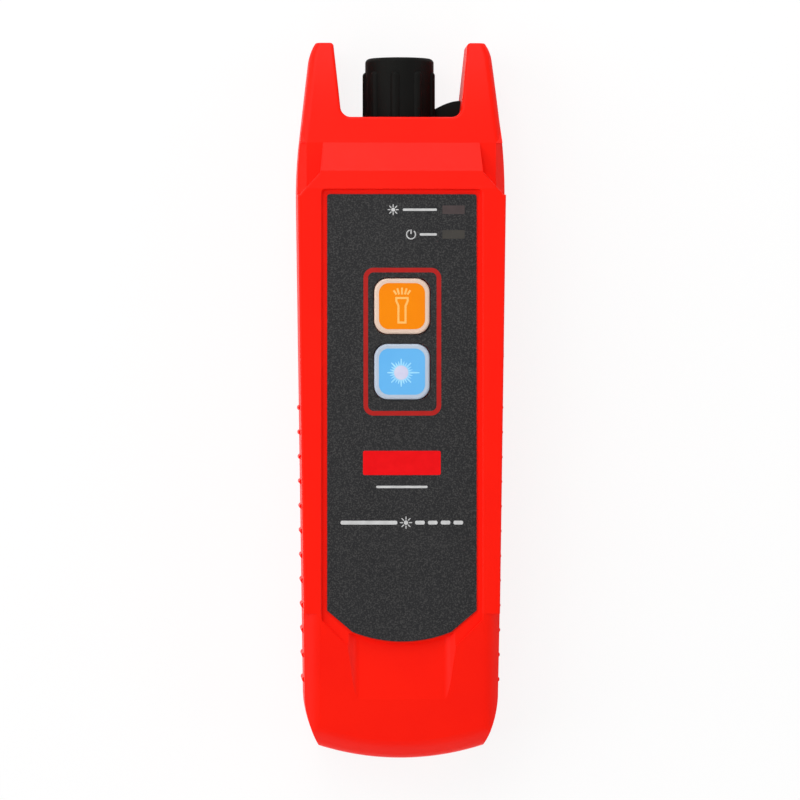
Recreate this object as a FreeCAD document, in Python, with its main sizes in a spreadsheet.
import FreeCAD, Part
import math
import os
import re
import Sketcher

# Handheld visual fault locator, in millimetres.  It lies on its flat back: X across,
# Y along the body towards the two horns, Z up through the front.  The origin is the
# middle of the back plane.

doc = FreeCAD.newDocument("visual_fault_locator")
sheet = doc.addObject("Spreadsheet::Sheet", "dims")

SIZES = {
    # plan outline, right half
    "tip_y": 78.65, "tail_corner_x": 18.05, "tail_corner_y": -75.8, "tail_arc": 58.6,
    "foot_x": 21.2, "foot_y": -65.0, "foot_arc": 24.0,
    "half_width": 22.75, "shoulder_y": 43.0, "shoulder_arc": 111.0,
    "neck_x": 22.3, "neck_y": 55.5, "horn_x": 20.13, "horn_y": 74.7, "horn_arc": 8.3,
    "horn_tip_x": 18.6, "tip_round_x": 15.5, "tip_round": 0.8,
    "horn_inner_x": 14.704, "horn_inner_y": 77.93, "notch_x": 13.3184, "notch_y": 64.1695,
    "notch_arc": 2.3, "lip_end_x": 11.03, "lip_y": 62.1,
    # side view
    "split_z": 11.5, "front_z": 27.0, "band_y": 46.2, "crest_y": 50.1, "crest_z": 26.5,
    "ramp_foot_y": 56.4, "shoulder_z": 23.2, "blend_y": 61.0, "blend_z": 22.55,
    "horn_front_z": 17.0, "horn_front_arc": 65.0,
    "horn_back_y": 58.0, "horn_back_z": 4.6, "tail_start_y": -46.7, "tail_slope": 0.13,
    "ramp_x": 17.76, "ramp_foot_x": 17.1, "shoulder_cut_x": 22.3, "shoulder_cut_y": 44.9,
    "bevel_x": 20.75, "tail_crease_x": 17.9, "tail_side_arc": 4.6,
    # shell walls and cavities
    "wall": 2.0, "seam_height": 0.4, "seam_depth": 0.25, "cavity_front_y": 55.5,
    "cavity_tail_y": -73.5, "cavity_tail_x": 17.0, "cavity_step_y": 43.0, "tail_step_y": -50.0,
    "ceiling_z": 23.7, "nose_ceiling_z": 20.6, "tail_ceiling_z": 21.2, "floor_z": 2.4,
    # label recess, thumb trough and label
    "recess_x": 17.5, "recess_y": 46.1, "recess_low_y": -48.2, "recess_foot_x": 12.1,
    "recess_foot_y": -53.6, "seat_z": 25.9, "seat_margin": 0.35,
    "trough_z": 24.55, "trough_x": 9.28, "trough_arc": 2.24, "trough_foot_x": 10.75,
    "trough_foot_z": 25.1, "trough_wall": 1.15, "trough_y": -51.0,
    "trough_length": 19.0, "trough_top": 3.0,
    "label_x": 16.35, "label_y": 45.0, "label_low_y": -46.0, "label_foot_x": 10.8,
    "label_foot_y": -50.7, "label_arc": 28.8, "label_corner": 0.6, "label_thick": 0.3,
    # keys and switches
    "torch_key_y": 20.5, "laser_key_y": 6.2, "key_half": 6.05, "key_corner": 3.0,
    "key_gap": 0.22, "key_top_z": 26.8, "flange_half": 6.9, "flange_low_z": 22.4,
    "flange_top_z": 23.4, "face_half": 5.05, "face_corner": 2.2, "face_depth": 0.35,
    "switch_half": 3.0, "switch_top_z": 21.0, "plunger_radius": 1.6, "plunger_gap": 0.15,
    "plunger_low_z": 20.0,
    # indicator windows
    "window_x": 11.3, "window_high_y": 41.6, "window_low_y": 36.2, "window_half_x": 2.5,
    "window_half_y": 1.0, "lens_gap": 0.06, "lens_low_z": 23.0, "led_height": 0.8,
    # port between the horns
    "port_z": 11.5, "deck_y": 57.5, "pocket_x": 12.9, "pocket_front_z": 20.9,
    "pocket_back_z": 2.4, "port_hole": 5.2, "collar_radius": 4.6, "collar_body": 5.1,
    "collar_nose": 3.9, "collar_end_y": 70.2, "collar_bore": 1.62, "collar_flange": 6.6,
    "collar_rear_y": 53.9, "sleeve_radius": 1.6, "ferrule_radius": 1.25, "sleeve_rear_y": 52.0,
    "sleeve_end_y": 69.6, "nut_radius": 6.6, "nut_bore": 4.75, "nut_thick": 1.8,
    "barrel_radius": 5.5, "barrel_rear_y": 22.0, "barrel_front_y": 50.0, "barrel_neck": 4.0,
    "diode_radius": 2.8, "diode_length": 4.2, "diode_rim": 3.2, "pin_radius": 0.25,
    "pin_length": 5.0, "pin_circle": 1.27,
    "torch_x": -10.6, "torch_radius": 1.5, "torch_rim": 1.9, "torch_length": 4.2,
    # dust cap and its tether
    "cap_top_y": 75.2, "cap_flat": 6.4, "cap_round": 1.7, "cap_radius": 7.62, "cap_low_y": 60.2,
    "cap_bore": 4.85, "cap_bore_y": 73.2, "rib_crest": 8.17, "rib_radius": 1.1,
    "rib_top_y": 71.6, "rib_count": 9, "rib_first": 12.0,
    "tether_x": 8.2, "tether_low_y": 60.5, "tether_y": 64.5, "tether_horn_y": 65.8,
    "tether_thick": 1.6, "tether_end_x": 16.4, "tether_arc": 9.0, "tether_gap": 0.2,
    # side cover and the socket behind it
    "cover_low_y": 9.4, "cover_high_y": 28.1, "cover_low_z": 12.3, "cover_high_z": 19.5,
    "cover_x": 22.7, "cover_inner_x": 21.3, "cover_gap": 0.2, "plug_low_y": 15.2,
    "plug_high_y": 22.3, "plug_low_z": 14.7, "plug_high_z": 17.1, "plug_x": 20.45,
    "socket_low_y": 14.3, "socket_high_y": 23.2, "socket_low_z": 14.3, "socket_x": 20.2,
    "socket_rear_x": 13.4, "socket_wall": 0.3, "socket_tongue": 0.35, "socket_corner": 1.2,
    # battery bay, door and cells
    "bay_x": 11.2, "bay_low_y": -57.5, "bay_high_y": -8.5, "bay_wall": 1.4, "bay_top_z": 13.2,
    "door_x": 12.3, "door_tongue_x": 13.7, "door_gap": 0.2, "door_high_y": -8.2,
    "door_skin_z": 1.15, "door_top_z": 2.25, "rail_x": 15.6, "rail_top_z": 3.7,
    "door_low_z": 0.2, "door_end_gap": 0.15, "door_round": 0.9,
    "ridge_half_x": 5.0, "ridge_count": 5, "ridge_pitch": 2.2,
    "ridge_y": -15.0, "ridge_width": 0.9, "ridge_depth": 0.35,
    "cell_x": 5.6, "cell_z": 7.6, "cell_radius": 5.25, "cell_length": 43.7, "nub_radius": 1.9,
    "nub_length": 0.8, "plate_half": 4.0, "plate_thick": 0.4, "spring_radius": 3.2,
    "spring_tip": 1.8,
    # board and fasteners
    "board_x": 12.6, "board_low_y": -48.0, "board_high_y": 44.5, "board_low_z": 17.6,
    "board_thick": 1.6, "tab_x": 19.7, "tab_low_y": 12.8, "tab_high_y": 24.7,
    "case_screw_x": 16.9, "case_screw_high_y": 46.0, "case_screw_low_y": -62.0,
    "boss_radius": 2.9, "case_pilot": 1.3, "case_shank": 1.25, "case_hole": 1.5,
    "case_head": 2.2, "case_sink": 2.4, "case_sink_z": 3.0, "case_head_z": 1.0,
    "case_screw_length": 15.0,
    "post_x": 10.4, "post_high_y": 40.0, "post_mid_y": 29.8, "post_low_y": -44.0,
    "post_radius": 2.2, "post_pilot": 0.85, "post_shank": 0.8, "post_head": 1.7,
    "post_head_height": 1.3, "post_screw_length": 5.0,
    # grip ribs on the sides
    "grip_count": 12, "grip_y": -1.64, "grip_pitch": 5.43, "grip_radius": 0.62,
    "grip_sink": 0.16, "grip_high_z": 20.0, "grip_low_z": 4.5,
    # edge rounding
    "back_round": 2.0, "tail_round": 4.5, "horn_round": 1.7, "lip_round": 0.6,
    "wall_round": 0.4, "rim_round": 0.35, "key_round": 0.5,
}

for row, (alias, number) in enumerate(SIZES.items(), start=1):
    sheet.set("A%d" % row, alias)
    sheet.set("B%d" % row, str(number))
    sheet.setAlias("B%d" % row, alias)
doc.recompute()

SIDE_SLOPE = "((half_width - foot_x) / (shoulder_y - foot_y))"


def value(text):
    """A formula in the sheet's aliases, worked out."""
    return float(sheet.evalExpression(text))


def bind(item, prop, text):
    """Tie a property to a formula in the sheet's aliases."""
    item.setExpression(prop, re.sub(r"[a-z_]+", lambda word: "dims." + word.group(0)
                                    if word.group(0) in SIZES else word.group(0), text))


def new_body(label):
    body = doc.addObject("PartDesign::Body", label)
    body.Label = label
    return body


def new_sketch(body, name, plane, offset="0"):
    """A sketch on one of the body's origin planes, moved along that plane's normal."""
    sketch = body.newObject("Sketcher::SketchObject", body.Label + "_" + name)
    support = [item for item in body.Origin.OriginFeatures if item.Role == plane][0]
    sketch.AttachmentSupport = (support, [""])
    sketch.MapMode = "FlatFace"
    bind(sketch, "AttachmentOffset.Base.z", offset)
    return sketch


def arc_between(start, end, radius):
    """The short arc from start to end, turning left for a radius above zero."""
    middle = (start + end) * 0.5
    along = end - start
    left = FreeCAD.Vector(-along.y, along.x, 0).normalize()
    rise = math.sqrt(radius ** 2 - (along.Length / 2) ** 2)
    centre = middle + left * math.copysign(rise, radius)
    first, last = (start, end) if radius > 0 else (end, start)
    angles = [math.atan2(p.y - centre.y, p.x - centre.x) for p in (first, last)]
    circle = Part.Circle(centre, FreeCAD.Vector(0, 0, 1), abs(radius))
    return Part.ArcOfCircle(circle, angles[0], angles[1])


def add_loop(sketch, corners):
    """A closed loop of (x, y) or (x, y, radius) formulas; a radius bends the edge that follows."""
    base = sketch.GeometryCount
    places = [FreeCAD.Vector(value(c[0]), value(c[1]), 0) for c in corners]
    ends = []
    for i, corner in enumerate(corners):
        start, end = places[i], places[(i + 1) % len(corners)]
        if len(corner) == 3:
            radius = value(corner[2])
            sketch.addGeometry(arc_between(start, end, radius), False)
            ends.append((1, 2) if radius > 0 else (2, 1))
            index = sketch.addConstraint(Sketcher.Constraint("Radius", base + i, abs(radius)))
            bind(sketch, "Constraints[%d]" % index, "abs(%s)" % corner[2])
        else:
            sketch.addGeometry(Part.LineSegment(start, end), False)
            ends.append((1, 2))
    for i, corner in enumerate(corners):
        after = (i + 1) % len(corners)
        sketch.addConstraint(Sketcher.Constraint("Coincident", base + i, ends[i][1],
                                                 base + after, ends[after][0]))
        for kind, text, number in (("DistanceX", corner[0], places[i].x),
                                   ("DistanceY", corner[1], places[i].y)):
            index = sketch.addConstraint(Sketcher.Constraint(kind, -1, 1, base + i, ends[i][0],
                                                             number))
            bind(sketch, "Constraints[%d]" % index, text)


def add_circle(sketch, x, y, radius):
    base = sketch.GeometryCount
    centre = FreeCAD.Vector(value(x), value(y), 0)
    sketch.addGeometry(Part.Circle(centre, FreeCAD.Vector(0, 0, 1), value(radius)), False)
    for constraint, text in ((Sketcher.Constraint("Radius", base, value(radius)), radius),
                             (Sketcher.Constraint("DistanceX", -1, 1, base, 3, centre.x), x),
                             (Sketcher.Constraint("DistanceY", -1, 1, base, 3, centre.y), y)):
        bind(sketch, "Constraints[%d]" % sketch.addConstraint(constraint), text)


def mirrored(half, closing=None):
    """A whole loop from its right half, listed upwards; closing bends the lowest edge."""
    left = []
    for i in range(len(half) - 1, -1, -1):
        bend = half[i - 1][2:] if i > 0 else (() if closing is None else (closing,))
        left.append(("-(%s)" % half[i][0], half[i][1]) + tuple(bend))
    return list(half) + left


def rectangle(x_low, x_high, y_low, y_high):
    return [(x_low, y_low), (x_high, y_low), (x_high, y_high), (x_low, y_high)]


def round_square(x, y, half, corner):
    """A square about (x, y) with arcs at its corners."""
    inner = "(%s - %s)" % (half, corner)
    turns = [(1, -1, 0), (1, 1, 1), (-1, 1, 0), (-1, -1, 1)]
    loop = []
    for right, up, swap in turns:
        near = ("%s + %d*%s" % (x, right, inner), "%s + %d*(%s)" % (y, up, half))
        far = ("%s + %d*(%s)" % (x, right, half), "%s + %d*%s" % (y, up, inner))
        first, last = (far, near) if swap else (near, far)
        loop += [first + (corner,), last]
    return loop


def extrude(body, kind, sketch, length, reverse=False, both=False):
    """A Pad or Pocket of the sketch, whose volume is compared with its base's later."""
    item = body.newObject("PartDesign::" + kind, sketch.Name + "_" + kind.lower())
    item.Profile = sketch
    item.Reversed = reverse
    item.SideType = "Symmetric" if both else "One side"
    bind(item, "Length", length)
    return item


def revolve(body, sketch, axis="V_Axis"):
    item = body.newObject("PartDesign::Revolution", sketch.Name + "_turn")
    item.Profile = sketch
    item.ReferenceAxis = (sketch, [axis])
    item.Angle = 360
    return item


def round_edges(body, radius, chosen):
    """Fillet the edges of the body's last feature that pass the test."""
    doc.recompute()
    base = body.Tip
    names = ["Edge%d" % (i + 1) for i, edge in enumerate(base.Shape.Edges) if chosen(edge)]
    item = body.newObject("PartDesign::Fillet", base.Name + "_round")
    item.Base = (base, names)
    bind(item, "Radius", radius)
    doc.recompute()
    return item


def middle(edge):
    return edge.valueAt((edge.FirstParameter + edge.LastParameter) / 2)


def upright(edge):
    """True for a straight edge along Z."""
    low, high = edge.Vertexes[0].Point, edge.Vertexes[-1].Point
    return (low - high).cross(FreeCAD.Vector(0, 0, 1)).Length < 0.01


# ---------------------------------------------------------------- plan outlines

def case_outline(inset="0"):
    """The plan of both shells, from the tail corner to the notch between the horns."""
    half = [("tail_corner_x - %s" % inset, "tail_corner_y + %s" % inset, "foot_arc"),
            ("foot_x - %s" % inset, "foot_y"),
            ("half_width - %s" % inset, "shoulder_y", "shoulder_arc"),
            ("neck_x - %s" % inset, "neck_y"),
            ("horn_x - %s" % inset, "horn_y", "horn_arc"),
            ("horn_tip_x - %s" % inset, "tip_y - %s" % inset),
            ("tip_round_x + %s" % inset, "tip_y - %s" % inset, "tip_round"),
            ("horn_inner_x + %s" % inset, "horn_inner_y - %s" % inset),
            ("notch_x + %s" % inset, "notch_y - %s" % inset, "-notch_arc"),
            ("lip_end_x + %s" % inset, "lip_y - %s" % inset)]
    return mirrored(half, "tail_arc")


def cavity_outline(low_y, low_x, high_y, high_x):
    return mirrored([(low_x, low_y), (high_x, high_y)])


def inner_x(y):
    """Half width of the cavity at a height y along the body."""
    return "(foot_x - wall + (%s - foot_y) * %s)" % (y, SIDE_SLOPE)


def add_grips(body, name, low_z, height):
    """Small upright ribs down both sides."""
    sketch = new_sketch(body, name, "XY_Plane", low_z)
    for i in range(int(SIZES["grip_count"])):
        y = "(grip_y - %d*grip_pitch)" % i
        x = "(foot_x + (%s - foot_y) * %s - grip_sink)" % (y, SIDE_SLOPE)
        add_circle(sketch, x, y, "grip_radius")
        add_circle(sketch, "-%s" % x, y, "grip_radius")
    extrude(body, "Pad", sketch, height)


def corner_places(x, *heights):
    return [(side + x, y) for y in heights for side in ("", "-")]


CASE_SCREWS = corner_places("case_screw_x", "case_screw_high_y", "case_screw_low_y")
BOARD_SCREWS = [("-post_x", "post_high_y"), ("post_x", "post_mid_y"),
                ("-post_x", "post_low_y"), ("post_x", "post_low_y")]


# ---------------------------------------------------------------- front shell

def on_top_edges(edge):
    """The rails' outer edges and the top edge of the wall behind each shoulder."""
    place = middle(edge)
    on_rail = abs(place.x) > 20 and place.z > 26.99 and abs(place.y) < 46.5
    on_wall = abs(place.x) > 19 and place.z > 26.7 and 47 < place.y < 49
    return on_rail or on_wall


def make_front_shell():
    body = new_body("front_shell")
    sketch = new_sketch(body, "plan", "XY_Plane", "split_z")
    add_loop(sketch, case_outline())
    extrude(body, "Pad", sketch, "front_z - split_z")

    sketch = new_sketch(body, "nose_profile", "YZ_Plane")
    add_loop(sketch, [("band_y", "front_z"), ("crest_y", "crest_z"), ("ramp_foot_y", "shoulder_z"),
                      ("blend_y", "blend_z", "-horn_front_arc"), ("tip_y + 1", "horn_front_z"),
                      ("tip_y + 1", "front_z + 2"), ("band_y", "front_z + 2")])
    extrude(body, "Pocket", sketch, "3*half_width", both=True)

    sketch = new_sketch(body, "tail_profile", "YZ_Plane")
    add_loop(sketch, [("tail_start_y", "front_z"), ("tail_start_y", "front_z + 2"),
                      ("-tip_y - 1", "front_z + 2"),
                      ("-tip_y - 1", "front_z - (tail_start_y + tip_y + 1)*tail_slope")])
    extrude(body, "Pocket", sketch, "3*half_width", both=True)

    round_edges(body, "tail_round", lambda e: middle(e).y < -76 and middle(e).z > 15
                and abs(e.Vertexes[0].Z - e.Vertexes[-1].Z) < 2)
    round_edges(body, "horn_round", lambda e: middle(e).y > 56.5 and middle(e).z > 17
                and abs(middle(e).x) > 18.9 and not upright(e))
    round_edges(body, "lip_round", lambda e: middle(e).y > SIZES["lip_y"] - 0.01
                and middle(e).z > 16 and abs(middle(e).x) < 15.6 and not upright(e))

    sketch = new_sketch(body, "shoulders", "XY_Plane", "front_z + 1")
    for side in ("", "-"):
        add_loop(sketch, [(side + "ramp_foot_x", "ramp_foot_y + 0.6"), (side + "ramp_x", "crest_y - 0.2"),
                          (side + "shoulder_cut_x", "shoulder_cut_y"),
                          (side + "(half_width + 2)", "shoulder_cut_y"),
                          (side + "(half_width + 2)", "ramp_foot_y + 0.6")])
    extrude(body, "Pocket", sketch, "front_z + 1 - shoulder_z")

    sketch = new_sketch(body, "shoulder_bevels", "XZ_Plane", "-ramp_foot_y")
    for side in ("", "-"):
        add_loop(sketch, [(side + "bevel_x", "shoulder_z"), (side + "(bevel_x + 3)", "shoulder_z - 3"),
                          (side + "(bevel_x + 3)", "shoulder_z + 1"),
                          (side + "bevel_x", "shoulder_z + 1")])
    extrude(body, "Pocket", sketch, "ramp_foot_y - shoulder_cut_y", reverse=True)
    round_edges(body, "wall_round", on_top_edges)

    sketch = new_sketch(body, "tail_sides", "XZ_Plane", "-tail_start_y")
    for side, bend in (("", "-"), ("-", "")):
        add_loop(sketch, [(side + "tail_crease_x", "front_z", bend + "tail_side_arc"),
                          (side + "(tail_crease_x + tail_side_arc)", "front_z - tail_side_arc"),
                          (side + "(tail_crease_x + tail_side_arc)", "front_z + 6"),
                          (side + "tail_crease_x", "front_z + 6")])
    sides = extrude(body, "Pocket", sketch, "2*half_width", reverse=True)
    sides.UseCustomVector = True
    sides.Direction = FreeCAD.Vector(0, 1, SIZES["tail_slope"])
    sides.AlongSketchNormal = False

    sketch = new_sketch(body, "recess", "XY_Plane", "front_z + 1")
    add_loop(sketch, mirrored([("recess_foot_x", "recess_foot_y"), ("recess_x", "recess_low_y"),
                               ("recess_x", "recess_y - 1", "1"), ("recess_x - 1", "recess_y")]))
    extrude(body, "Pocket", sketch, "front_z + 1 - seat_z")
    round_edges(body, "rim_round", lambda e: middle(e).z > 26.99 and -46.4 < middle(e).y < 46.12
                and abs(middle(e).x) < 17.6)

    sketch = new_sketch(body, "trough", "XZ_Plane", "-trough_y")
    wide = "(trough_foot_x + trough_top*trough_wall)"
    add_loop(sketch, mirrored([("trough_x", "trough_z", "trough_arc"),
                               ("trough_foot_x", "trough_foot_z"),
                               (wide, "trough_foot_z + trough_top")]))
    extrude(body, "Pocket", sketch, "trough_length", reverse=True)

    sketch = new_sketch(body, "label_seat", "XY_Plane", "trough_z - 1")
    add_loop(sketch, label_outline("seat_margin"))
    extrude(body, "Pad", sketch, "seat_z - trough_z + 1")

    sketch = new_sketch(body, "cavity", "XY_Plane", "split_z - 1")
    add_loop(sketch, cavity_outline("tail_step_y", inner_x("tail_step_y"),
                                    "cavity_step_y", inner_x("cavity_step_y")))
    extrude(body, "Pocket", sketch, "ceiling_z - split_z + 1", reverse=True)
    sketch = new_sketch(body, "nose_cavity", "XY_Plane", "split_z - 1")
    add_loop(sketch, cavity_outline("cavity_step_y - 1", inner_x("cavity_step_y"),
                                    "cavity_front_y", "neck_x - wall"))
    extrude(body, "Pocket", sketch, "nose_ceiling_z - split_z + 1", reverse=True)
    sketch = new_sketch(body, "tail_cavity", "XY_Plane", "split_z - 1")
    add_loop(sketch, mirrored([("cavity_tail_x", "cavity_tail_y"), ("foot_x - wall", "foot_y"),
                               (inner_x("tail_step_y"), "tail_step_y + 1")]))
    extrude(body, "Pocket", sketch, "tail_ceiling_z - split_z + 1", reverse=True)

    sketch = new_sketch(body, "port_pocket", "XZ_Plane", "-lip_y - 4")
    add_loop(sketch, rectangle("-pocket_x", "pocket_x", "split_z - 1", "pocket_front_z"))
    extrude(body, "Pocket", sketch, "lip_y + 4 - deck_y", reverse=True)
    sketch = new_sketch(body, "port_hole", "XZ_Plane", "-lip_y")
    add_circle(sketch, "0", "port_z", "port_hole")
    extrude(body, "Pocket", sketch, "lip_y + 1 - cavity_front_y", reverse=True)

    sketch = new_sketch(body, "key_holes", "XY_Plane", "front_z")
    for y in ("torch_key_y", "laser_key_y"):
        add_loop(sketch, round_square("0", y, "key_half + key_gap", "key_corner"))
    for y in ("window_high_y", "window_low_y"):
        add_loop(sketch, rectangle("window_x - window_half_x", "window_x + window_half_x",
                                   y + " - window_half_y", y + " + window_half_y"))
    extrude(body, "Pocket", sketch, "front_z - ceiling_z + 1")

    sketch = new_sketch(body, "bosses", "XY_Plane", "split_z")
    for x, y in CASE_SCREWS:
        add_circle(sketch, x, y, "boss_radius")
    extrude(body, "Pad", sketch, "nose_ceiling_z - split_z + 1")
    sketch = new_sketch(body, "boss_pilots", "XY_Plane", "split_z")
    for x, y in CASE_SCREWS:
        add_circle(sketch, x, y, "case_pilot")
    extrude(body, "Pocket", sketch, "nose_ceiling_z - split_z - 2", reverse=True)

    sketch = new_sketch(body, "posts", "XY_Plane", "board_low_z + board_thick")
    for x, y in BOARD_SCREWS:
        add_circle(sketch, x, y, "post_radius")
    extrude(body, "Pad", sketch, "ceiling_z - board_low_z - board_thick + 0.5")
    sketch = new_sketch(body, "post_pilots", "XY_Plane", "board_low_z + board_thick")
    for x, y in BOARD_SCREWS:
        add_circle(sketch, x, y, "post_pilot")
    extrude(body, "Pocket", sketch, "post_screw_length - board_thick + 0.4", reverse=True)

    sketch = new_sketch(body, "cover_seat", "YZ_Plane", "half_width + 2")
    add_loop(sketch, rectangle("cover_low_y - cover_gap", "cover_high_y + cover_gap",
                               "cover_low_z - cover_gap", "cover_high_z + cover_gap"))
    extrude(body, "Pocket", sketch, "half_width + 2 - cover_inner_x + cover_gap")
    sketch = new_sketch(body, "socket_window", "YZ_Plane", "half_width + 2")
    add_loop(sketch, rectangle("socket_low_y - 0.3", "socket_high_y + 0.3",
                               "socket_low_z - 0.3", "board_low_z + board_thick + 0.3"))
    extrude(body, "Pocket", sketch, "half_width + 2 - socket_rear_x")

    sketch = new_sketch(body, "tether_slot", "XY_Plane", "split_z - 1")
    add_loop(sketch, rectangle("pocket_x - 1", "tether_end_x + tether_gap",
                               "tether_low_y - 0.4", "tether_horn_y + 0.5"))
    extrude(body, "Pocket", sketch, "1 + tether_thick/2 + tether_gap", reverse=True)

    add_grips(body, "grips", "split_z", "grip_high_z - split_z")
    return body


# ---------------------------------------------------------------- back shell

def make_back_shell():
    body = new_body("back_shell")
    sketch = new_sketch(body, "plan", "XY_Plane")
    add_loop(sketch, case_outline())
    extrude(body, "Pad", sketch, "split_z - seam_height")
    round_edges(body, "back_round", lambda e: middle(e).z < 0.01)
    sketch = new_sketch(body, "seam", "XY_Plane", "split_z - seam_height")
    add_loop(sketch, case_outline("seam_depth"))
    extrude(body, "Pad", sketch, "seam_height")

    sketch = new_sketch(body, "horn_backs", "YZ_Plane")
    add_loop(sketch, [("horn_back_y", "0"), ("horn_back_y", "-2"), ("tip_y + 1", "-2"),
                      ("tip_y + 1", "horn_back_z")])
    extrude(body, "Pocket", sketch, "3*half_width", both=True)

    sketch = new_sketch(body, "cavity", "XY_Plane", "split_z + 1")
    add_loop(sketch, mirrored([("cavity_tail_x", "cavity_tail_y - 2"), ("foot_x - wall", "foot_y"),
                               (inner_x("cavity_step_y"), "cavity_step_y"),
                               ("neck_x - wall", "cavity_front_y")]))
    extrude(body, "Pocket", sketch, "split_z + 1 - floor_z")

    sketch = new_sketch(body, "port_pocket", "XZ_Plane", "-lip_y - 4")
    add_loop(sketch, rectangle("-pocket_x", "pocket_x", "pocket_back_z", "split_z + 1"))
    extrude(body, "Pocket", sketch, "lip_y + 4 - deck_y", reverse=True)
    sketch = new_sketch(body, "port_hole", "XZ_Plane", "-lip_y")
    add_circle(sketch, "0", "port_z", "port_hole")
    extrude(body, "Pocket", sketch, "lip_y + 1 - cavity_front_y", reverse=True)

    sketch = new_sketch(body, "door_rails", "XY_Plane", "floor_z - 1")
    add_loop(sketch, rectangle("-rail_x", "rail_x", "cavity_tail_y - 2.5", "bay_high_y + bay_wall"))
    extrude(body, "Pad", sketch, "rail_top_z - floor_z + 1")
    sketch = new_sketch(body, "bay_walls", "XY_Plane", "floor_z")
    add_loop(sketch, rectangle("-bay_x - bay_wall", "bay_x + bay_wall",
                               "bay_low_y - bay_wall", "bay_high_y + bay_wall"))
    extrude(body, "Pad", sketch, "bay_top_z + bay_wall - floor_z")
    sketch = new_sketch(body, "bay", "XY_Plane", "-1")
    add_loop(sketch, rectangle("-bay_x", "bay_x", "bay_low_y", "bay_high_y"))
    extrude(body, "Pocket", sketch, "bay_top_z + 1", reverse=True)

    sketch = new_sketch(body, "door_slot", "XY_Plane", "-1")
    add_loop(sketch, rectangle("-door_x - door_gap", "door_x + door_gap",
                               "-tip_y - 2", "door_high_y + door_gap"))
    extrude(body, "Pocket", sketch, "door_top_z + 1.15", reverse=True)
    sketch = new_sketch(body, "door_grooves", "XY_Plane", "door_skin_z - 0.1")
    add_loop(sketch, rectangle("-door_tongue_x - door_gap", "door_tongue_x + door_gap",
                               "-tip_y - 2", "door_high_y + door_gap"))
    extrude(body, "Pocket", sketch, "door_top_z - door_skin_z + 0.25", reverse=True)

    sketch = new_sketch(body, "bosses", "XY_Plane", "floor_z - 1")
    for x, y in CASE_SCREWS:
        add_circle(sketch, x, y, "boss_radius")
    extrude(body, "Pad", sketch, "split_z - floor_z + 1")
    sketch = new_sketch(body, "screw_holes", "XY_Plane", "split_z + 1")
    for x, y in CASE_SCREWS:
        add_circle(sketch, x, y, "case_hole")
    extrude(body, "Pocket", sketch, "split_z + 3")
    sketch = new_sketch(body, "screw_sinks", "XY_Plane", "-1")
    for x, y in CASE_SCREWS:
        add_circle(sketch, x, y, "case_sink")
    extrude(body, "Pocket", sketch, "case_sink_z + 1", reverse=True)

    sketch = new_sketch(body, "tether_slot", "XY_Plane", "split_z + 1")
    add_loop(sketch, rectangle("pocket_x - 1", "tether_end_x + tether_gap",
                               "tether_low_y - 0.4", "tether_horn_y + 0.5"))
    extrude(body, "Pocket", sketch, "1 + tether_thick/2 + tether_gap")

    add_grips(body, "grips", "grip_low_z", "split_z - seam_height - grip_low_z")
    return body


# ---------------------------------------------------------------- label

def label_outline(margin="0"):
    half = [("label_foot_x + 0.4*%s" % margin, "label_foot_y - %s" % margin),
            ("label_x + %s" % margin, "label_low_y - 0.4*%s" % margin),
            ("label_x + %s" % margin, "label_y + %s - label_corner" % margin, "label_corner"),
            ("label_x + %s - label_corner" % margin, "label_y + %s" % margin)]
    return mirrored(half, "label_arc")


def make_label():
    body = new_body("label_overlay")
    sketch = new_sketch(body, "plan", "XY_Plane", "seat_z")
    add_loop(sketch, label_outline())
    for y in ("torch_key_y", "laser_key_y"):
        add_loop(sketch, round_square("0", y, "key_half + key_gap", "key_corner"))
    extrude(body, "Pad", sketch, "label_thick")


# ---------------------------------------------------------------- keys and switches

def make_key(name, y):
    """A flanged key cap, its coloured face, the plunger under it and the switch."""
    body = new_body(name + "_key")
    sketch = new_sketch(body, "flange", "XY_Plane", "flange_low_z")
    add_loop(sketch, round_square("0", y, "flange_half", "key_corner"))
    extrude(body, "Pad", sketch, "flange_top_z - flange_low_z")
    sketch = new_sketch(body, "cap", "XY_Plane", "flange_top_z")
    add_loop(sketch, round_square("0", y, "key_half", "key_corner"))
    extrude(body, "Pad", sketch, "key_top_z - flange_top_z")
    round_edges(body, "key_round", lambda e: middle(e).z > SIZES["key_top_z"] - 0.01)
    sketch = new_sketch(body, "face_seat", "XY_Plane", "key_top_z + 1")
    add_loop(sketch, round_square("0", y, "face_half", "face_corner"))
    extrude(body, "Pocket", sketch, "1 + face_depth")

    face = new_body(name + "_key_face")
    sketch = new_sketch(face, "plan", "XY_Plane", "key_top_z - face_depth")
    add_loop(sketch, round_square("0", y, "face_half", "face_corner"))
    extrude(face, "Pad", sketch, "face_depth + 0.02")

    plunger = new_body(name + "_plunger")
    sketch = new_sketch(plunger, "plan", "XY_Plane", "plunger_low_z")
    add_circle(sketch, "0", y, "plunger_radius")
    extrude(plunger, "Pad", sketch, "flange_low_z - plunger_low_z")

    switch = new_body(name + "_switch")
    sketch = new_sketch(switch, "plan", "XY_Plane", "board_low_z + board_thick")
    add_loop(sketch, rectangle("-switch_half", "switch_half", y + " - switch_half",
                               y + " + switch_half"))
    extrude(switch, "Pad", sketch, "switch_top_z - board_low_z - board_thick")
    sketch = new_sketch(switch, "well", "XY_Plane", "switch_top_z + 1")
    add_circle(sketch, "0", y, "plunger_radius + plunger_gap")
    extrude(switch, "Pocket", sketch, "switch_top_z + 1 - board_low_z - board_thick - 0.3")


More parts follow.
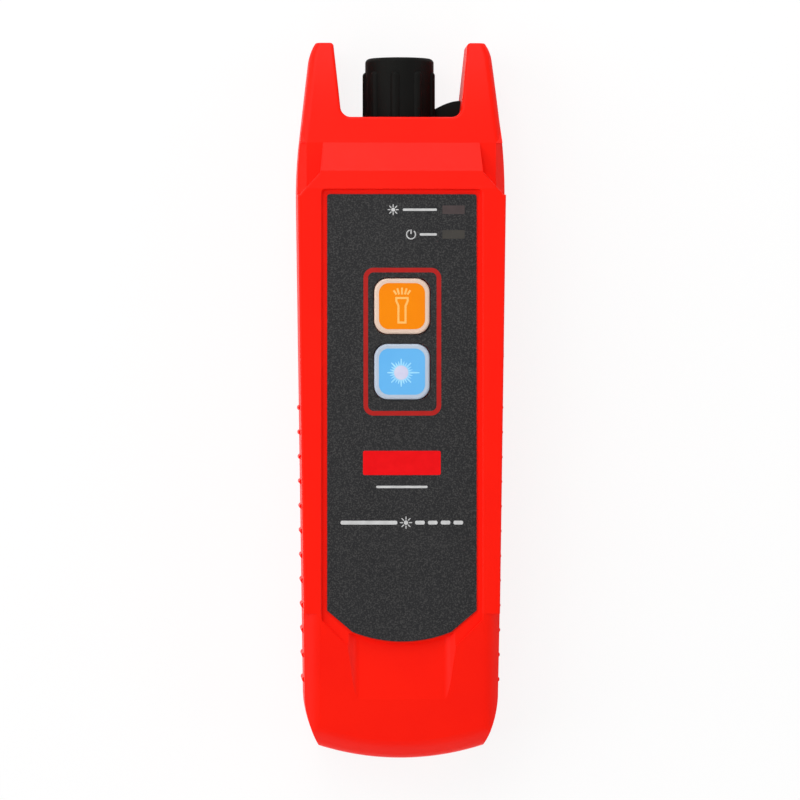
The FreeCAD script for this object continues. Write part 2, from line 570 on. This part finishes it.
def make_indicator(name, y):
    """A clear light guide in the front shell and the chip that lights it."""
    lens = new_body(name + "_lens")
    sketch = new_sketch(lens, "plan", "XY_Plane", "lens_low_z")
    add_loop(sketch, rectangle("window_x - window_half_x + lens_gap",
                               "window_x + window_half_x - lens_gap",
                               y + " - window_half_y + lens_gap", y + " + window_half_y - lens_gap"))
    extrude(lens, "Pad", sketch, "seat_z - lens_low_z")
    chip = new_body(name + "_led")
    sketch = new_sketch(chip, "plan", "XY_Plane", "board_low_z + board_thick")
    add_loop(sketch, rectangle("window_x - led_height", "window_x + led_height",
                               y + " - 0.6*led_height", y + " + 0.6*led_height"))
    extrude(chip, "Pad", sketch, "led_height")


# ---------------------------------------------------------------- board

def make_board():
    body = new_body("main_board")
    sketch = new_sketch(body, "plan", "XY_Plane", "board_low_z")
    add_loop(sketch, [("-board_x", "board_low_y"), ("board_x", "board_low_y"),
                      ("board_x", "tab_low_y"), ("tab_x", "tab_low_y"), ("tab_x", "tab_high_y"),
                      ("board_x", "tab_high_y"), ("board_x", "board_high_y"),
                      ("-board_x", "board_high_y")])
    for x, y in BOARD_SCREWS:
        add_circle(sketch, x, y, "post_pilot + 0.1")
    extrude(body, "Pad", sketch, "board_thick")


def make_socket():
    """The power socket on the board's underside, mouth towards +X."""
    body = new_body("charge_socket")
    sketch = new_sketch(body, "shell", "YZ_Plane", "socket_rear_x")
    add_loop(sketch, slot_loop("0"))
    extrude(body, "Pad", sketch, "socket_x - socket_rear_x")
    sketch = new_sketch(body, "mouth", "YZ_Plane", "socket_x + 1")
    add_loop(sketch, slot_loop("socket_wall"))
    extrude(body, "Pocket", sketch, "socket_x - socket_rear_x")
    sketch = new_sketch(body, "tongue", "YZ_Plane", "socket_rear_x + 1")
    middle_z = "(socket_low_z + board_low_z)/2"
    add_loop(sketch, rectangle("socket_low_y + 1.1", "socket_high_y - 1.1",
                               middle_z + " - socket_tongue", middle_z + " + socket_tongue"))
    extrude(body, "Pad", sketch, "socket_x - socket_rear_x - 1.7")


def slot_loop(inset):
    low_y, high_y = "(socket_low_y + %s)" % inset, "(socket_high_y - %s)" % inset
    low_z, high_z = "(socket_low_z + %s)" % inset, "(board_low_z - %s)" % inset
    corner = "(socket_corner - %s)" % inset
    return [(low_y + " + " + corner, low_z), (high_y + " - " + corner, low_z, corner),
            (high_y, low_z + " + " + corner), (high_y, high_z + " - " + corner, corner),
            (high_y + " - " + corner, high_z), (low_y + " + " + corner, high_z, corner),
            (low_y, high_z + " - " + corner), (low_y, low_z + " + " + corner, corner)]


# ---------------------------------------------------------------- port and laser

def turned(label, half):
    """A piece turned about the port's axis from (radius, y) corners."""
    body = new_body(label)
    sketch = new_sketch(body, "half_section", "XY_Plane", "port_z")
    add_loop(sketch, half)
    revolve(body, sketch)
    return body


def make_port():
    turned("port_collar", [
        ("collar_bore", "sleeve_rear_y + 1.9"), ("collar_flange", "collar_rear_y"),
        ("collar_flange", "cavity_front_y"), ("collar_body", "cavity_front_y"),
        ("collar_body", "deck_y"), ("collar_radius", "deck_y"),
        ("collar_radius", "collar_end_y - 3.2"), ("collar_nose", "collar_end_y - 2.6"),
        ("collar_nose", "collar_end_y - 0.4"), ("collar_nose - 0.4", "collar_end_y"),
        ("collar_bore", "collar_end_y")])
    turned("ferrule_sleeve", [
        ("ferrule_radius", "sleeve_rear_y"), ("sleeve_radius", "sleeve_rear_y"),
        ("sleeve_radius", "sleeve_end_y"), ("ferrule_radius", "sleeve_end_y")])
    turned("laser_barrel", [
        ("0", "barrel_rear_y"), ("barrel_radius", "barrel_rear_y"),
        ("barrel_radius", "barrel_front_y - 1"), ("barrel_radius - 1", "barrel_front_y"),
        ("barrel_neck", "barrel_front_y"), ("barrel_neck", "collar_rear_y - 0.1"),
        ("sleeve_radius + 0.05", "collar_rear_y - 0.1"), ("sleeve_radius + 0.05", "sleeve_rear_y - 0.1"),
        ("0", "sleeve_rear_y - 0.1")])
    nut = new_body("port_nut")
    sketch = new_sketch(nut, "hexagon", "XZ_Plane", "-deck_y")
    add_loop(sketch, [("nut_radius*%.6f" % math.cos(math.radians(60 * i)),
                       "port_z + nut_radius*%.6f" % math.sin(math.radians(60 * i)))
                      for i in range(6)])
    add_circle(sketch, "0", "port_z", "nut_bore")
    extrude(nut, "Pad", sketch, "nut_thick", reverse=True)

    diode = turned("laser_diode", [
        ("0", "barrel_rear_y - diode_length"), ("diode_radius", "barrel_rear_y - diode_length"),
        ("diode_radius", "barrel_rear_y - 1.2"), ("diode_rim", "barrel_rear_y - 1.2"),
        ("diode_rim", "barrel_rear_y"), ("0", "barrel_rear_y")])
    sketch = new_sketch(diode, "pins", "XZ_Plane", "-barrel_rear_y + diode_length")
    for x, z in (("-pin_circle", "port_z"), ("pin_circle", "port_z"), ("0", "port_z + pin_circle")):
        add_circle(sketch, x, z, "pin_radius")
    extrude(diode, "Pad", sketch, "pin_length")


def make_torch():
    """A small round lamp standing on the deck beside the port, and its bezel."""
    bezel = new_body("torch_bezel")
    sketch = new_sketch(bezel, "ring", "XZ_Plane", "-deck_y")
    add_circle(sketch, "torch_x", "port_z", "torch_rim")
    add_circle(sketch, "torch_x", "port_z", "torch_radius + 0.02")
    extrude(bezel, "Pad", sketch, "1", reverse=True)
    lamp = new_body("torch_led")
    sketch = new_sketch(lamp, "plan", "XZ_Plane", "-deck_y")
    add_circle(sketch, "torch_x", "port_z", "torch_radius")
    extrude(lamp, "Pad", sketch, "torch_length", reverse=True)
    round_edges(lamp, "torch_radius - 0.1",
                lambda e: middle(e).y > SIZES["deck_y"] + SIZES["torch_length"] - 0.01)


# ---------------------------------------------------------------- dust cap

def make_cap():
    body = turned("dust_cap", [
        ("cap_bore", "cap_low_y"), ("cap_radius", "cap_low_y"),
        ("cap_radius", "cap_top_y - cap_round", "cap_round"), ("cap_flat", "cap_top_y"),
        ("0", "cap_top_y"), ("0", "cap_bore_y"), ("cap_bore", "cap_bore_y")])
    sketch = new_sketch(body, "ribs", "XZ_Plane", "-rib_top_y")
    for i in range(int(SIZES["rib_count"])):
        turn = math.radians(90 + SIZES["rib_first"] + 360 * i / SIZES["rib_count"])
        add_circle(sketch, "(rib_crest - rib_radius)*%.6f" % math.cos(turn),
                   "port_z + (rib_crest - rib_radius)*%.6f" % math.sin(turn), "rib_radius")
    extrude(body, "Pad", sketch, "rib_top_y - cap_low_y")

    tether = new_body("cap_tether")
    sketch = new_sketch(tether, "plan", "XY_Plane", "port_z - tether_thick/2")
    add_loop(sketch, [("tether_x", "tether_low_y"), ("tether_end_x", "tether_low_y"),
                      ("tether_end_x", "tether_horn_y"), ("notch_x + 0.2", "tether_horn_y", "tether_arc"),
                      ("tether_x", "tether_y")])
    extrude(tether, "Pad", sketch, "tether_thick")


# ---------------------------------------------------------------- side cover

def make_cover():
    body = new_body("port_cover")
    sketch = new_sketch(body, "plan", "XY_Plane", "cover_low_z")
    add_loop(sketch, [("cover_inner_x", "cover_low_y + 0.8"), ("cover_x", "cover_low_y"),
                      ("cover_x", "cover_high_y"), ("cover_inner_x", "cover_high_y")])
    extrude(body, "Pad", sketch, "cover_high_z - cover_low_z")
    sketch = new_sketch(body, "plug", "YZ_Plane", "cover_inner_x")
    add_loop(sketch, rectangle("plug_low_y", "plug_high_y", "plug_low_z", "plug_high_z"))
    extrude(body, "Pad", sketch, "cover_inner_x - plug_x", reverse=True)


# ---------------------------------------------------------------- battery bay

def make_door():
    body = new_body("battery_door")
    for name, low, high, x in (("skin", "door_low_z", "door_skin_z", "door_x"),
                               ("tongues", "door_skin_z", "door_top_z", "door_tongue_x")):
        sketch = new_sketch(body, name, "XY_Plane", low)
        end = "(tail_arc - tip_y + door_end_gap - sqrt(tail_arc^2 - (%s)^2))" % x
        add_loop(sketch, mirrored([(x, end), (x, "door_high_y")], "tail_arc"))
        extrude(body, "Pad", sketch, "%s - %s" % (high, low))
        if name == "skin":
            round_edges(body, "door_round", lambda e: middle(e).z < SIZES["door_low_z"] + 0.01
                        and middle(e).y < -78)
    sketch = new_sketch(body, "ridges", "XY_Plane")
    for i in range(int(SIZES["ridge_count"])):
        y = "ridge_y - %d*ridge_pitch" % i
        add_loop(sketch, rectangle("-ridge_half_x", "ridge_half_x", y + " - ridge_width/2",
                                   y + " + ridge_width/2"))
    extrude(body, "Pocket", sketch, "door_low_z + ridge_depth", reverse=True)


def make_cell(name, x, forward):
    """A round cell; its nub points along +Y when forward is 1."""
    body = new_body("battery_cell_" + name)
    end = "(bay_high_y - plate_thick)" if forward > 0 else "(bay_low_y + plate_thick)"
    sketch = new_sketch(body, "can", "XZ_Plane", "-(%s - %d*nub_length)" % (end, forward))
    add_circle(sketch, x, "cell_z", "cell_radius")
    extrude(body, "Pad", sketch, "cell_length", reverse=forward < 0)
    sketch = new_sketch(body, "nub", "XZ_Plane", "-%s" % end)
    add_circle(sketch, x, "cell_z", "nub_radius")
    extrude(body, "Pad", sketch, "nub_length", reverse=forward < 0)


def make_contacts():
    """Flat plates at the nub ends; plates with a coned spring at the other ends."""
    plates, springs = [], []
    for x, forward in (("-cell_x", 1), ("cell_x", -1)):
        for spring in (False, True):
            at_high_end = (forward > 0) != spring
            plate = doc.addObject("Part::Box", "contact_plate")
            bind(plate, "Length", "2*plate_half")
            bind(plate, "Width", "plate_thick")
            bind(plate, "Height", "2*plate_half")
            bind(plate, "Placement.Base.x", "%s - plate_half" % x)
            bind(plate, "Placement.Base.z", "cell_z - plate_half")
            wall = "bay_high_y - plate_thick" if at_high_end else "bay_low_y"
            bind(plate, "Placement.Base.y", wall)
            if not spring:
                plates.append(plate)
                continue
            cone = doc.addObject("Part::Cone", "contact_cone")
            bind(cone, "Radius1", "spring_radius")
            bind(cone, "Radius2", "spring_tip")
            bind(cone, "Height", "bay_high_y - bay_low_y - 2*plate_thick - nub_length - cell_length")
            way = -1 if at_high_end else 1
            cone.Placement.Rotation = FreeCAD.Rotation(FreeCAD.Vector(1, 0, 0), -90 * way)
            bind(cone, "Placement.Base.x", x)
            bind(cone, "Placement.Base.z", "cell_z")
            bind(cone, "Placement.Base.y", "bay_high_y - plate_thick" if at_high_end
                 else "bay_low_y + plate_thick")
            joined = doc.addObject("Part::Fuse", "contact_spring")
            joined.Base, joined.Tool = plate, cone
            springs.append(joined)
    return [group("plate_contacts", plates), group("spring_contacts", springs)]


def group(label, items):
    compound = doc.addObject("Part::Compound", label)
    compound.Label = label
    compound.Links = items
    return compound


# ---------------------------------------------------------------- screws

def make_screws(label, places, low_z, head, head_height, shank, length):
    """Cross-recessed screws driven upwards, heads at low_z."""
    screws = []
    for x, y in places:
        pieces = []
        for radius, height, start in ((head, head_height, low_z),
                                      (shank, length, "%s + %s" % (low_z, head_height))):
            piece = doc.addObject("Part::Cylinder", label + "_turned")
            bind(piece, "Radius", radius)
            bind(piece, "Height", height)
            for axis, text in (("x", x), ("y", y), ("z", start)):
                bind(piece, "Placement.Base." + axis, text)
            pieces.append(piece)
        whole = doc.addObject("Part::Fuse", label + "_whole")
        whole.Base, whole.Tool = pieces
        slots = []
        for half_x, half_y in ((0.62, 0.14), (0.14, 0.62)):
            slot = doc.addObject("Part::Box", label + "_slot")
            bind(slot, "Length", "2*%s*%s" % (half_x, head))
            bind(slot, "Width", "2*%s*%s" % (half_y, head))
            bind(slot, "Height", "0.6*%s" % head_height)
            bind(slot, "Placement.Base.x", "%s - %s*%s" % (x, half_x, head))
            bind(slot, "Placement.Base.y", "%s - %s*%s" % (y, half_y, head))
            bind(slot, "Placement.Base.z", low_z)
            slots.append(slot)
        cross = doc.addObject("Part::Fuse", label + "_cross")
        cross.Base, cross.Tool = slots
        screw = doc.addObject("Part::Cut", label + "_one")
        screw.Base, screw.Tool = whole, cross
        screws.append(screw)
    return group(label, screws)


# ---------------------------------------------------------------- build and export


make_front_shell()
make_back_shell()
make_label()
make_key("torch", "torch_key_y")
make_key("laser", "laser_key_y")
make_indicator("laser_indicator", "window_high_y")
make_indicator("power_indicator", "window_low_y")
make_board()
make_socket()
make_port()
make_torch()
make_cap()
make_cover()
make_door()
make_cell("left", "-cell_x", 1)
make_cell("right", "cell_x", -1)
groups = make_contacts()
groups.append(make_screws("case_screws", CASE_SCREWS, "case_head_z", "case_head",
                          "(case_sink_z - case_head_z)", "case_shank", "case_screw_length"))
groups.append(make_screws("board_screws", BOARD_SCREWS, "(board_low_z - post_head_height)",
                          "post_head", "post_head_height", "post_shank", "post_screw_length"))
doc.recompute()


def check_document():
    """Stop on any failed object, and on a Pad that adds nothing or a Pocket that cuts nothing."""
    for item in doc.Objects:
        if any(state in item.State for state in ("Invalid", "Error")):
            raise RuntimeError("failed: " + item.Name)
    for body in doc.findObjects("PartDesign::Body"):
        last = None
        for item in body.Group:
            if item.isDerivedFrom("Sketcher::SketchObject"):
                continue
            change = item.Shape.Volume - (last.Shape.Volume if last else 0)
            wrong = change > -1e-4 if item.TypeId.endswith("Pocket") else change < 1e-4
            if wrong and not item.TypeId.endswith("Fillet"):
                raise RuntimeError("no change: %s %g" % (item.Name, change))
            last = item


check_document()
os.makedirs("parts", exist_ok=True)
for item in doc.findObjects("PartDesign::Body") + groups:
    if item.Shape.isNull() or not item.Shape.isValid():
        raise RuntimeError("bad shape: " + item.Label)
    item.Shape.exportStep("parts/%s.step" % item.Label)
print(len(os.listdir("parts")), "sub-parts written")
